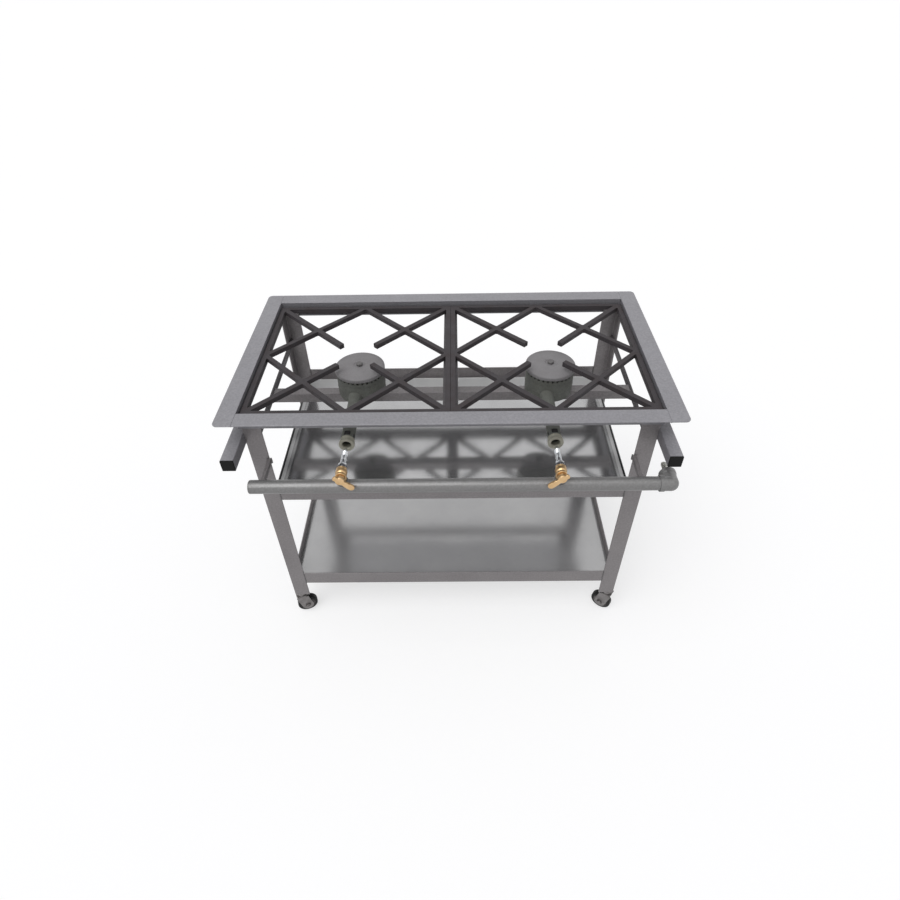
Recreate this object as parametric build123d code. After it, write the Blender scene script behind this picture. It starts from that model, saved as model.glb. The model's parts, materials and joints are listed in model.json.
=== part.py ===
from build123d import *
import os
from math import sqrt

# Two-burner stock pot range on an open stand with castors.
#
# Axes: +X to the right, +Y to the back, +Z up. The origin is on the floor, midway between
# the left and right edges and midway between the valve handles and the back edge.
# Heights under the top plane are given as depths ("down"), and places from front to back
# as distances behind the front edge of the top frame ("behind", negative in front of it).

os.makedirs("parts", exist_ok=True)

# ---- Driving dimensions, millimetres ---------------------------------------------------
# Whole range
frame_width = 874.0
frame_depth = 486.0
total_height = 665.0
slide_gap = 0.3          # between a loose piece and what carries it
turn_gap = 0.05          # radial, between a shaft and its bore

# Top frame: angle rails, flange outwards, web down at the inner edge
rail_flange = 36.0
rail_web = 35.0
rail_wall = 3.0
rail_corner_radius = 10.0

# Legs, rails and ledges of steel angle
angle_wall = 3.0
leg_side = 36.0
leg_foot_height = 76.0   # end of the leg above the floor
ledge_flange = 13.0
ledge_web = 10.0
ledge_wall = 2.0
centre_bar_width = 30.0

# Grates
grate_side_gap = 2.7     # from a grate to the side rail
grate_end_gap = 8.0      # from a grate to the front and back rails
grate_thickness = 10.0
grate_bar = 10.0
grate_recess = 8.0       # top of the grates under the top plane
finger_bar = 11.0
finger_end_reach = 51.0  # from the flame's axis to a finger's end

# Burner supports
burner_bar_down = 96.0
burner_bar_side = 22.0
burner_bar_wall = 2.0
burner_rail_down = 94.0
burner_rail_height = 15.0
burner_rail_wall = 5.0

# Burners
burner_ahead = 12.0      # burners' axes ahead of the frame's middle
burner_shift = 9.0       # burners' axes to the right of their valves
valve_outset = 3.7       # valves outside the middles of the grates
cap_radius = 53.0
cap_top_down = 27.0
cap_crown = 4.0
cap_edge = 9.0
cap_flat = 26.0          # radius of the cap's flat top
cap_shoulder = 43.0      # radius where the crown begins to fall away
cap_shoulder_drop = 1.5
drum_radius = 51.0
drum_wall = 5.0
drum_floor = 6.0
drum_foot_radius = 48.5
drum_foot_height = 3.0   # of the slope round the drum's foot
port_count = 32
port_width = 4.0
port_depth = 5.0
port_cut = 16.0          # length of the cut that makes one port through the rim
centre_post_radius = 8.0
centre_bolt_radius = 4.0
centre_bolt_hex = 15.0
centre_bolt_head = 5.0
mixing_tube_down = 79.0
mixing_tube_radius = 13.5
mixing_tube_wall = 3.0
mixing_mouth_behind = 32.0
mouth_bead_radius = 15.5
mouth_bead_length = 8.0

# Gas pipe, valves and jets
pipe_radius = 13.35
pipe_wall = 2.8
pipe_ahead = 45.0
pipe_down = 113.0
pipe_inset = 58.0        # open end of the pipe inside the frame's left edge
pipe_plug_lid = 3.0
pipe_plug_length = 9.0
elbow_radius = 16.5
elbow_wall = 6.4
elbow_collar_radius = 19.5
elbow_collar_length = 12.0
elbow_inset = 25.0       # elbow's corner inside the frame's right edge
elbow_arm = 22.0         # from the corner to the collar that takes the pipe
elbow_outlet = 28.0      # from the corner back to the outlet
socket_depth = 10.0
spigot_radius = 6.0
spigot_length = 20.0
spigot_bore = 3.5
spigot_hex = 19.0
spigot_hex_length = 6.0
valve_radius = 11.0
valve_length = 22.0
valve_boss_radius = 8.0
valve_bore = 4.0         # hole in the pipe under each valve
valve_bonnet_radius = 8.0
valve_bonnet_length = 4.0
spindle_radius = 4.0
handle_span = 46.0
handle_height = 13.0
handle_thickness = 5.0
handle_hub_radius = 9.0
handle_hub_length = 8.0
handle_tilt = 40.0       # degrees, as the handles stand when shut
handle_offset = 8.0      # wing's middle beyond the hub, towards its lower end
jet_hex = 16.0
jet_hex_length = 12.0
jet_body_radius = 6.0
jet_body_length = 24.0
jet_nose_length = 20.0
jet_nose_radius = 3.5

# Flat brackets that carry the pipe on the front legs
bracket_wall = 7.0
bracket_height = 12.0
bracket_drop = 4.0       # bracket's top under the pipe's axis
bracket_overlap = 4.0    # of the bracket's thickness on the leg's face

# Arms
arm_side = 25.0
arm_wall = 1.5
arm_ahead = 40.0
arm_down = 51.0
arm_cap_wall = 3.0
arm_cap_plug = 12.0

# Drip tray and its rails
tray_down = 214.0
tray_sheet = 1.2
tray_rim = 28.0
tray_side_gap = 1.5      # to each front leg
tray_back_gap = 12.0     # to the back rail's seat
tray_rail_web = 24.0
back_rail_web = 40.0
back_rail_rise = 27.0    # back rail's top over the tray's runners
runner_flange = 25.0

# Lower shelf and its rails
shelf_rail_rise = 49.0   # rails' undersides above the legs' ends
shelf_sheet = 1.2
shelf_lip = 14.0         # height of the sheet's turned-down edges
shelf_rail_web = 38.0
shelf_side_gap = 9.0     # to the legs' side flanges
shelf_rail_flange = 38.0

# Castors
wheel_radius = 25.0
wheel_width = 17.0
wheel_edge = 3.0
hub_radius = 10.0
hub_recess = 2.5
rim_land_radius = 18.0
castor_inset = 11.0      # castor's pin inside the leg's outer corner
castor_trail = 9.0
castor_headings = {"front_left": 20.0, "front_right": 145.0, "back_left": 20.0, "back_right": 160.0}
axle_radius = 4.0
axle_head_radius = 6.5
axle_head = 3.0
fork_wall = 2.5
fork_side_gap = 1.5
fork_crown_length = 28.0
fork_crown_wall = 3.5
fork_crown_corner = 8.0
fork_crown_down = 10.0   # crown's top under the end of the leg
fork_eye_radius = 14.0
castor_plate_side = 22.0
castor_plate_wall = 3.0
race_radius = 12.0
castor_pin_radius = 5.0
castor_nut_radius = 8.0
castor_nut_height = 5.0

# ---- Places worked out from the dimensions ---------------------------------------------
half_width = frame_width / 2
opening_half = half_width - rail_flange            # inner faces of the side webs
pipe_left = half_width - pipe_inset
elbow_corner = half_width - elbow_inset
valve_front_ahead = pipe_ahead + valve_length / 2
handle_back_ahead = valve_front_ahead + valve_bonnet_length + slide_gap
handle_front_ahead = handle_back_ahead + handle_hub_length
front = (handle_front_ahead - frame_depth) / 2      # Y of the frame's front edge
back = front + frame_depth
middle = front + frame_depth / 2


def down(depth):
    """Height of a place that lies this far under the top plane."""
    return total_height - depth


def behind(distance):
    """Y of a place this far behind the frame's front edge."""
    return front + distance


leg_outer = opening_half - ledge_wall              # outer faces of the legs
leg_inner = leg_outer - leg_side                   # inner edges of the legs
leg_front = behind(rail_flange + ledge_wall)
leg_back = back - rail_flange - ledge_wall
inside_front = leg_front + angle_wall              # behind the front legs' front flanges
inside_back = leg_back - angle_wall
inside_half = leg_outer - angle_wall               # inside the legs' side flanges
seat_down = grate_recess + grate_thickness + slide_gap
grate_width = opening_half - grate_side_gap - slide_gap
grate_depth = frame_depth - 2 * (rail_flange + grate_end_gap)
grate_x = grate_width / 2 + slide_gap
valve_x = grate_x + valve_outset
burner_y = middle - burner_ahead
arm_outer = leg_outer + arm_side
castor_x = leg_outer - castor_inset
castor_y_front = leg_front + castor_inset
castor_y_back = leg_back - castor_inset
SIDES = (("left", -1), ("right", 1))
CORNERS = [(f"{row}_{side}", sx, sy) for row, sy in (("front", -1), ("back", 1)) for side, sx in SIDES]


# ---- Small helpers ---------------------------------------------------------------------
def block(x, y, z):
    """A box from its low and high X, Y and Z."""
    size = [high - low for low, high in (x, y, z)]
    centre = [(low + high) / 2 for low, high in (x, y, z)]
    return Pos(*centre) * Box(*size)


def span(side, near, far):
    """Low and high X of a stretch from near to far on the left (-1) or right (1)."""
    return tuple(sorted((side * near, side * far)))


def rod_x(radius, x0, x1, y, z):
    return Pos((x0 + x1) / 2, y, z) * Rot(0, 90, 0) * Cylinder(radius, abs(x1 - x0))


def rod_y(radius, y0, y1, x, z):
    return Pos(x, (y0 + y1) / 2, z) * Rot(90, 0, 0) * Cylinder(radius, abs(y1 - y0))


def rod_z(radius, z0, z1, x, y):
    return Pos(x, y, (z0 + z1) / 2) * Cylinder(radius, abs(z1 - z0))


def hexagon_y(flats, y0, y1, x, z):
    """A hexagon bar along Y, given its width across flats."""
    plane = Plane(origin=(x, y0, z), x_dir=(1, 0, 0), z_dir=(0, 1, 0))
    return extrude(plane * RegularPolygon(flats / sqrt(3), 6), y1 - y0)


def hexagon_z(flats, z0, z1, x, y):
    """A hexagon bar along Z, given its width across flats."""
    return extrude(Pos(x, y, z0) * RegularPolygon(flats / sqrt(3), 6), z1 - z0)


def revolved(points, x=0.0, y=0.0, z=0.0):
    """A turned piece about a vertical axis, from its (radius, height) outline."""
    face = make_face(Plane.XZ * Polyline(*points, close=True))
    return Pos(x, y, z) * revolve(face, Axis.Z)


def keep(name, *solids):
    """Write one node, as a single shape or as a group of separate solids."""
    shape = solids[0] if len(solids) == 1 else Compound(children=list(solids))
    export_step(shape, f"parts/{name}.step")


# ---- Top frame -------------------------------------------------------------------------
def build_top_frame():
    web_z = (down(rail_web), down(rail_wall))
    flange_z = (down(rail_wall), down(0))
    for name, edge, inward in (("front", front, 1), ("back", back, -1)):
        flange_y = sorted((edge, edge + inward * rail_flange))
        web_y = sorted((edge + inward * (rail_flange - rail_wall), edge + inward * rail_flange))
        reach = (-opening_half, opening_half)
        keep(f"top_rail_{name}", block(reach, flange_y, flange_z) + block(reach, web_y, web_z))
    for name, side in SIDES:
        flange = block(span(side, opening_half, half_width), (front, back), flange_z)
        corners = flange.edges().filter_by(Axis.Z).group_by(Axis.X)[-1 if side > 0 else 0]
        web = block(span(side, opening_half, opening_half + rail_wall),
                    (behind(rail_flange - rail_wall), back - rail_flange + rail_wall), web_z)
        keep(f"top_rail_{name}", fillet(corners, rail_corner_radius) + web)


def build_legs():
    z = (leg_foot_height, down(seat_down + ledge_wall))
    for name, sx, sy in CORNERS:
        face = leg_front if sy < 0 else leg_back
        inner = face - sy * leg_side
        across = block(span(sx, leg_inner, leg_outer), sorted((face, face - sy * angle_wall)), z)
        along = block(span(sx, inside_half, leg_outer), sorted((face, inner)), z)
        keep(f"leg_{name}", across + along)


# ---- Grates and what they rest on ------------------------------------------------------
def build_ledges():
    seat_z = (down(seat_down + ledge_wall), down(seat_down))
    web_z = (down(seat_down + ledge_wall + ledge_web), down(seat_down + ledge_wall))
    for name, edge, inward in (("front", behind(rail_flange), 1), ("back", back - rail_flange, -1)):
        seat_y = sorted((edge, edge + inward * ledge_flange))
        web_y = sorted((edge, edge + inward * ledge_wall))
        seat = block((-opening_half, opening_half), seat_y, seat_z)
        keep(f"grate_ledge_{name}", seat + block((-opening_half, opening_half), web_y, web_z))
    side_y = (behind(rail_flange + ledge_flange), back - rail_flange - ledge_flange)
    web_y = (leg_front, leg_back)
    for name, side in SIDES:
        seat = block(span(side, opening_half - ledge_flange, opening_half), side_y, seat_z)
        web = block(span(side, leg_outer, opening_half), web_y, web_z)
        keep(f"grate_ledge_{name}", seat + web)
    bar_x = (-centre_bar_width / 2, centre_bar_width / 2)
    keep("grate_centre_bar", block(bar_x, side_y, seat_z))


def bar_between(start, end, width, height):
    """A flat-ended bar from one (x, y) point to another, standing on its own plane."""
    length = sqrt((end[0] - start[0]) ** 2 + (end[1] - start[1]) ** 2)
    along = Vector(end[0] - start[0], end[1] - start[1]).normalized()
    plane = Plane(origin=((start[0] + end[0]) / 2, (start[1] + end[1]) / 2, 0),
                  x_dir=(along.X, along.Y, 0), z_dir=(0, 0, 1))
    return extrude(plane * Rectangle(length, width), height)


def build_grates():
    line_x = (grate_width - grate_bar) / 2          # middles of the outer bars
    line_y = (grate_depth - grate_bar) / 2
    opening = Rectangle(grate_width - 2 * grate_bar, grate_depth - 2 * grate_bar)
    grate = extrude(Rectangle(grate_width, grate_depth) - opening, grate_thickness)
    mids = [(line_x, 0), (0, line_y), (-line_x, 0), (0, -line_y)]
    for index in range(4):
        grate += bar_between(mids[index], mids[(index + 1) % 4], grate_bar, grate_thickness)
    end = finger_end_reach / sqrt(2)
    for sx in (-1, 1):
        for sy in (-1, 1):
            tip = (sx * end, sy * end)
            corner = (sx * line_x, sy * line_y)
            grate += bar_between(tip, corner, finger_bar, grate_thickness)
    bottom = down(grate_recess + grate_thickness)
    for name, side in SIDES:
        keep(f"grate_{name}", Pos(side * grate_x, middle, bottom) * grate)


# ---- Burners and their supports --------------------------------------------------------
def build_burner_supports():
    reach = inside_half - burner_rail_wall
    rail_z = (down(burner_rail_down + burner_rail_height), down(burner_rail_down))
    for name, side in SIDES:
        rail = block(span(side, reach, inside_half), (inside_front, inside_back), rail_z)
        keep(f"burner_rail_{name}", rail)
    half = burner_bar_side / 2
    bore = half - burner_bar_wall
    centre = down(burner_bar_down) - half
    bar = block((-reach, reach), (burner_y - half, burner_y + half), (centre - half, centre + half))
    bar -= block((-reach, reach), (burner_y - bore, burner_y + bore), (centre - bore, centre + bore))
    for name, side in SIDES:
        x = side * valve_x + burner_shift
        bar -= rod_z(centre_bolt_radius + slide_gap, centre - half, centre + half, x, burner_y)
    keep("burner_cross_bar", bar)


def build_burners():
    base = down(burner_bar_down)
    rim_top = down(cap_top_down + cap_crown + cap_edge)
    floor_top = base + drum_floor
    tube_z = down(mixing_tube_down)
    inner_radius = drum_radius - drum_wall
    outline = [(0, base), (drum_foot_radius, base), (drum_radius, base + drum_foot_height),
               (drum_radius, rim_top), (0, rim_top)]
    inside = [(centre_post_radius, floor_top), (inner_radius, floor_top), (inner_radius, rim_top),
              (centre_post_radius, rim_top)]
    port_x = drum_radius - drum_wall / 2
    port_z = rim_top - port_depth / 2
    ports = [Rot(0, 0, 360 * i / port_count) * Pos(port_x, 0, port_z)
             * Box(port_cut, port_width, port_depth) for i in range(port_count)]
    bore = mixing_tube_radius - mixing_tube_wall
    mouth = behind(mixing_mouth_behind)
    tube_end = burner_y - inner_radius / 2
    for name, side in SIDES:
        tube_x = side * valve_x
        x = tube_x + burner_shift
        body = revolved(outline, x, burner_y)
        body += rod_y(mixing_tube_radius, mouth, tube_end, tube_x, tube_z)
        body += rod_y(mouth_bead_radius, mouth, mouth + mouth_bead_length, tube_x, tube_z)
        body -= revolved(inside, x, burner_y)
        body -= rod_y(bore, mouth, tube_end, tube_x, tube_z)
        body -= Compound([Pos(x, burner_y, 0) * port for port in ports])
        body -= rod_z(centre_bolt_radius, base, rim_top, x, burner_y)
        keep(f"burner_body_{name}", body)
        keep(f"burner_cap_{name}", burner_cap(x, rim_top))
        keep(f"burner_bolt_{name}", burner_bolt(x))


def burner_cap(x, seat):
    """A low-domed cap that sits on the burner's rim, with a bore for the centre bolt."""
    top = seat + cap_edge + cap_crown
    outline = [(centre_bolt_radius, seat), (cap_radius, seat), (cap_radius, seat + cap_edge),
               (cap_shoulder, top - cap_shoulder_drop), (cap_flat, top), (centre_bolt_radius, top)]
    return revolved(outline, x, burner_y)


def burner_bolt(x):
    """The bolt that holds cap and burner down on the cross bar, with its nut under the bar."""
    top = down(cap_top_down)
    under = down(burner_bar_down + burner_bar_side)
    bolt = rod_z(centre_bolt_radius, under - centre_bolt_head, top, x, burner_y)
    bolt += hexagon_z(centre_bolt_hex, top, top + centre_bolt_head, x, burner_y)
    return bolt + hexagon_z(centre_bolt_hex, under - centre_bolt_head, under, x, burner_y)


# ---- Gas pipe, valves and jets ---------------------------------------------------------
def build_gas_line():
    y = behind(-pipe_ahead)
    z = down(pipe_down)
    socket = elbow_corner - elbow_arm
    pipe_end = socket + socket_depth
    pipe = rod_x(pipe_radius, -pipe_left, pipe_end, y, z)
    pipe -= rod_x(pipe_radius - pipe_wall, -pipe_left, pipe_end, y, z)
    for name, side in SIDES:
        pipe -= rod_z(valve_bore, z, z + pipe_radius, side * valve_x, y)
    keep("gas_pipe", pipe)

    lid = rod_x(pipe_radius, -pipe_left - pipe_plug_lid, -pipe_left, y, z)
    plug = rod_x(pipe_radius - pipe_wall, -pipe_left, -pipe_left + pipe_plug_length, y, z)
    keep("gas_pipe_plug", lid + plug)

    outlet = y + elbow_outlet
    bore = elbow_radius - elbow_wall
    elbow = rod_x(elbow_radius, socket, elbow_corner, y, z)
    elbow += rod_y(elbow_radius, y, outlet, elbow_corner, z)
    elbow += Pos(elbow_corner, y, z) * Sphere(elbow_radius)
    elbow += rod_x(elbow_collar_radius, socket, socket + elbow_collar_length, y, z)
    elbow += rod_y(elbow_collar_radius, outlet - elbow_collar_length, outlet, elbow_corner, z)
    elbow -= rod_x(bore, socket, elbow_corner, y, z) + rod_y(bore, y, outlet, elbow_corner, z)
    elbow -= Pos(elbow_corner, y, z) * Sphere(bore)
    elbow -= rod_x(pipe_radius, socket, pipe_end, y, z)
    keep("inlet_elbow", elbow)

    hex_end = outlet + spigot_hex_length
    spigot = rod_y(bore, outlet - socket_depth, outlet, elbow_corner, z)
    spigot += hexagon_y(spigot_hex, outlet, hex_end, elbow_corner, z)
    spigot += rod_y(spigot_radius, hex_end, hex_end + spigot_length, elbow_corner, z)
    spigot -= rod_y(spigot_bore, outlet - socket_depth, hex_end + spigot_length, elbow_corner, z)
    keep("hose_spigot", spigot)


def build_valves():
    pipe_y = behind(-pipe_ahead)
    z = down(mixing_tube_down)
    body_front = behind(-valve_front_ahead)
    body_back = body_front + valve_length
    bonnet_front = body_front - valve_bonnet_length
    handle_back = behind(-handle_back_ahead)
    handle_front = behind(-handle_front_ahead)
    for name, side in SIDES:
        x = side * valve_x
        valve = rod_y(valve_radius, body_front, body_back, x, z)
        boss = rod_z(valve_boss_radius, down(pipe_down), z, x, pipe_y)
        saddle = (x - valve_boss_radius, x + valve_boss_radius)
        valve += boss - rod_x(pipe_radius, *saddle, pipe_y, down(pipe_down))
        valve += rod_y(valve_bonnet_radius, bonnet_front, body_front, x, z)
        valve += rod_y(spindle_radius, handle_front, bonnet_front, x, z)
        keep(f"gas_valve_{name}", valve)
        handle = wing_handle(handle_front, handle_back, -side * handle_offset)
        keep(f"valve_handle_{name}", Pos(x, 0, z) * Rot(0, -side * handle_tilt, 0) * handle)
        keep(f"gas_jet_{name}", gas_jet(x, z, body_back))


def wing_handle(y0, y1, offset):
    """A hub with a flat wing set off to one side, bored for the spindle, about the Y axis."""
    wing_z = handle_height / 2
    plane = Plane(origin=(0, y0, 0), x_dir=(1, 0, 0), z_dir=(0, 1, 0))
    wing = extrude(plane * SlotOverall(handle_span, 2 * wing_z), handle_thickness)
    handle = Pos(offset, 0, 0) * wing + rod_y(handle_hub_radius, y0, y1, 0, 0)
    return handle - rod_y(spindle_radius + turn_gap, y0, y1, 0, 0)


def gas_jet(x, z, start):
    """A hexagon, a round body and a tapered nose that points into the mixing tube."""
    hex_end = start + jet_hex_length
    body_end = hex_end + jet_body_length
    jet = hexagon_y(jet_hex, start, hex_end, x, z) + rod_y(jet_body_radius, hex_end, body_end, x, z)
    nose = Pos(x, body_end + jet_nose_length / 2, z) * Rot(-90, 0, 0)
    return jet + nose * Cone(jet_body_radius, jet_nose_radius, jet_nose_length)


def build_pipe_brackets():
    y = behind(-pipe_ahead)
    top = down(pipe_down + bracket_drop)
    outer = leg_inner + bracket_overlap
    for name, side in SIDES:
        x = span(side, outer - bracket_wall, outer)
        plate = block(x, (y, leg_front), (top - bracket_height, top))
        keep(f"pipe_bracket_{name}", plate - rod_x(pipe_radius, x[0], x[1], y, down(pipe_down)))


# ---- Arms ------------------------------------------------------------------------------
def build_arms():
    start = behind(-arm_ahead)
    end = leg_front + leg_side
    z = (down(arm_down + arm_side), down(arm_down))
    bore = arm_side - 2 * arm_wall
    centre_z = down(arm_down + arm_side / 2)
    caps = []
    for name, side in SIDES:
        x = side * (leg_outer + arm_side / 2)
        tube = block(span(side, leg_outer, arm_outer), (start + arm_cap_wall, end), z)
        tube = fillet(tube.edges().filter_by(Axis.Y), arm_wall)
        tube -= Pos(x, (start + end) / 2, centre_z) * Box(bore, end - start, bore)
        keep(f"arm_{name}", tube)
        lid = block(span(side, leg_outer, arm_outer), (start, start + arm_cap_wall), z)
        plug_end = start + arm_cap_wall + arm_cap_plug
        plug = Pos(x, (start + arm_cap_wall + plug_end) / 2, centre_z) * Box(bore, arm_cap_plug, bore)
        caps.append(fillet(lid.edges().filter_by(Axis.Y), arm_wall) + plug)
    keep("arm_end_caps", *caps)


# ---- Drip tray and lower shelf ---------------------------------------------------------
def build_tray_and_rails():
    half = leg_inner - tray_side_gap
    seat = tray_down + tray_sheet + slide_gap        # depth of the runners' tops
    runner_inner = half - runner_flange
    rail_top = down(seat)
    front_web = block((-leg_inner, leg_inner), (leg_front, inside_front),
                      (rail_top - tray_rail_web, rail_top))
    front_seat = block((-runner_inner, runner_inner), (inside_front, leg_front + leg_side),
                       (rail_top - angle_wall, rail_top))
    keep("tray_rail_front", front_web + front_seat)

    back_top = rail_top + back_rail_rise
    back_low = back_top - back_rail_web
    back_web = block((-leg_inner, leg_inner), (inside_back, leg_back), (back_low, back_top))
    back_seat = block((-leg_inner, leg_inner), (leg_back - leg_side, inside_back),
                      (back_low, back_low + angle_wall))
    keep("tray_rail_back", back_web + back_seat)
    for name, side in SIDES:
        flange = block(span(side, runner_inner, half), (inside_front, inside_back),
                       (rail_top - angle_wall, rail_top))
        web = block(span(side, half - angle_wall, half), (inside_front, inside_back),
                    (back_low + angle_wall, rail_top - angle_wall))
        keep(f"tray_runner_{name}", flange + web)

    low = down(tray_down + tray_sheet)
    tray_y = (leg_front, leg_back - leg_side - tray_back_gap)
    tray = block((-half, half), tray_y, (low, down(tray_down - tray_rim)))
    tray -= block((-half + tray_sheet, half - tray_sheet),
                  (tray_y[0] + tray_sheet, tray_y[1] - tray_sheet),
                  (down(tray_down), down(tray_down - tray_rim)))
    keep("drip_tray", tray)


def build_shelf_and_rails():
    half = inside_half - shelf_side_gap
    rail_inner = half - shelf_rail_flange
    low = leg_foot_height + shelf_rail_rise
    seat = low + angle_wall
    web_z = (low, low + shelf_rail_web)
    rows = (("front", leg_front, inside_front, 1), ("back", leg_back, inside_back, -1))
    for name, face, inner, inward in rows:
        web = block((-leg_inner, leg_inner), sorted((face, inner)), web_z)
        flange = block((-rail_inner, rail_inner), sorted((inner, face + inward * shelf_rail_flange)),
                       (low, seat))
        keep(f"shelf_rail_{name}", web + flange)
    for name, side in SIDES:
        flange = block(span(side, rail_inner, half), (inside_front, inside_back), (low, seat))
        web = block(span(side, half - angle_wall, half), (inside_front, inside_back), web_z)
        keep(f"shelf_rail_{name}", flange + web)
    pan_x = half - angle_wall - slide_gap
    pan_y = (inside_front + slide_gap, inside_back - slide_gap)
    pan = block((-pan_x, pan_x), pan_y, (seat, seat + shelf_lip))
    pan -= block((shelf_sheet - pan_x, pan_x - shelf_sheet),
                 (pan_y[0] + shelf_sheet, pan_y[1] - shelf_sheet),
                 (seat, seat + shelf_lip - shelf_sheet))
    keep("lower_shelf", pan)


# ---- Castors ---------------------------------------------------------------------------
def build_castors():
    mounts = []
    for name, sx, sy in CORNERS:
        pin = Pos(sx * castor_x, castor_y_front if sy < 0 else castor_y_back, 0)
        turned = pin * Rot(0, 0, castor_headings[name])
        mounts.append(pin * castor_mount())
        keep(f"castor_fork_{name}", turned * castor_fork())
        keep(f"castor_wheel_{name}", turned * castor_wheel())
    keep("castor_mounts", *mounts)


crown_top = leg_foot_height - fork_crown_down
crown_low = crown_top - fork_crown_wall


def castor_mount():
    """Plate under the leg, bearing race and the pin that holds the fork, about the Z axis."""
    plate_low = leg_foot_height - castor_plate_wall
    nut_top = crown_low - slide_gap
    half = castor_plate_side / 2
    mount = block((-half, half), (-half, half), (plate_low, leg_foot_height))
    mount += rod_z(race_radius, crown_top + slide_gap, plate_low, 0, 0)
    mount += rod_z(castor_pin_radius, nut_top, plate_low, 0, 0)
    return mount + rod_z(castor_nut_radius, nut_top - castor_nut_height, nut_top, 0, 0)


def castor_fork():
    """A crown with two cheeks that narrow to the axle, trailing along +X from its pin."""
    half = wheel_width / 2 + fork_side_gap
    outer = half + fork_wall
    crown_half = fork_crown_length / 2
    crown = block((-crown_half, crown_half), (-outer, outer), (crown_low, crown_top))
    crown = fillet(crown.edges().filter_by(Axis.Z), fork_crown_corner)
    fork = crown - rod_z(castor_pin_radius + turn_gap, crown_low, crown_top, 0, 0)
    cheek_top = Pos(0, crown_low - fork_crown_wall / 2) * Rectangle(fork_crown_length, fork_crown_wall)
    eye = Pos(castor_trail, wheel_radius) * Circle(fork_eye_radius)
    outline = make_hull([*cheek_top.edges(), *eye.edges()])
    for y0 in (-outer, half):
        plane = Plane(origin=(0, y0, 0), x_dir=(1, 0, 0), z_dir=(0, -1, 0))
        fork += extrude(plane * outline, -fork_wall)
    fork += rod_y(axle_radius, -outer, outer, castor_trail, wheel_radius)
    for y0 in (-outer - axle_head, outer):
        fork += rod_y(axle_head_radius, y0, y0 + axle_head, castor_trail, wheel_radius)
    return fork


def castor_wheel():
    """A moulded wheel with rounded edges, a recessed web and a bored hub."""
    half = wheel_width / 2
    web = half - hub_recess
    bore = axle_radius + turn_gap
    outline = Polyline((bore, -half), (hub_radius, -half), (hub_radius, -web), (rim_land_radius, -web),
                       (rim_land_radius, -half), (wheel_radius, -half), (wheel_radius, half),
                       (rim_land_radius, half), (rim_land_radius, web), (hub_radius, web),
                       (hub_radius, half), (bore, half), close=True)
    profile = make_face(Plane.XZ * outline)
    tread = profile.vertices().sort_by(Axis.X)[-2:]
    wheel = revolve(fillet(tread, wheel_edge), Axis.Z)
    return Pos(castor_trail, 0, wheel_radius) * Rot(90, 0, 0) * wheel


build_top_frame()
build_legs()
build_ledges()
build_grates()
build_burner_supports()
build_burners()
build_gas_line()
build_valves()
build_pipe_brackets()
build_arms()
build_tray_and_rails()
build_shelf_and_rails()
build_castors()
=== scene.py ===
import json
from math import cos, pi, radians, sin, sqrt

import bmesh
import bpy
from mathutils import Matrix, Vector


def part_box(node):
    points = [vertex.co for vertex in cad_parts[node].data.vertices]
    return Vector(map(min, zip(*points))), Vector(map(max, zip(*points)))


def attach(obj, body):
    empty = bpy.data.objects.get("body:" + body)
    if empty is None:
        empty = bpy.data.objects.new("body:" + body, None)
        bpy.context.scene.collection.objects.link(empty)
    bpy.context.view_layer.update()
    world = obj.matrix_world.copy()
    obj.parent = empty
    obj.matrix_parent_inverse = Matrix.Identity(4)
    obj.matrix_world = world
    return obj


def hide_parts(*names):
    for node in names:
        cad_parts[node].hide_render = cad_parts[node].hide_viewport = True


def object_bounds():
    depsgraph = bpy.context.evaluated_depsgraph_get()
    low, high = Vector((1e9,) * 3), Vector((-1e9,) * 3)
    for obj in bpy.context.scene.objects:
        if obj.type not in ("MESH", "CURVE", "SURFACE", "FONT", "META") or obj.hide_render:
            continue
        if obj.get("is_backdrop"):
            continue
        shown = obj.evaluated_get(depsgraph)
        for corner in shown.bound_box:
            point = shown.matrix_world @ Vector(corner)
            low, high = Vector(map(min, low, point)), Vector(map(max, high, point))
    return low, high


# Two-burner stock pot range on an open stand: painted angle steel, cast iron grates and
# burners, galvanised tray and shelf, brass valves. Metres, +X right, +Y back, +Z up.
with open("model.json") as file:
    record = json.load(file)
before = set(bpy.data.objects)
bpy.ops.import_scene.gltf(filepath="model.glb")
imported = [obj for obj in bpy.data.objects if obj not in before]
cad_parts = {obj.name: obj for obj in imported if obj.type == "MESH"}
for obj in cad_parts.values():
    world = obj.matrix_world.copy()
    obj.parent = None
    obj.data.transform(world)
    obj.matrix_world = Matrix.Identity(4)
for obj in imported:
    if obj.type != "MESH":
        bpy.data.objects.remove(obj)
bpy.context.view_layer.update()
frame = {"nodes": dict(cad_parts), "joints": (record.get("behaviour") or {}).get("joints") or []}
nodes = frame["nodes"]
joints = {joint["name"]: joint for joint in frame["joints"]}
MM = 0.001
SIDES = ("left", "right")
CORNERS = ("front_left", "front_right", "back_left", "back_right")
WELDED = 0.01 * MM  # vertices nearer than this are one

# Millimetres from here on. First the angle steel's wall and the radii, as in the CAD model
ANGLE_WALL = 3
DRUM_RADIUS = 51
TUBE_RADIUS = 13.5
PIPE_RADIUS = 13.35
WHEEL_RADIUS = 25
ELBOW_CAD_RADIUS = 19.5
# The elbow's arms and their collars are drawn slimmer
ELBOW_ARM_RADIUS = 14.8
ELBOW_COLLAR_RADIUS = 16.1
# The teeth that leave a burner's flame ports between them
PORT_COUNT = 32
PORT_DEPTH = 5
# A mixing tube's ring of air openings: its start and end behind the mouth, and its floor's radius
AIR_START, AIR_END, AIR_FLOOR = 18, 30, 12.2
# The height of the band of painted shade along the upper edge of the tray's side walls
SHADED_BAND = 10
# From one ripple of a weld to the next
RIPPLE = 2.6


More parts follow.
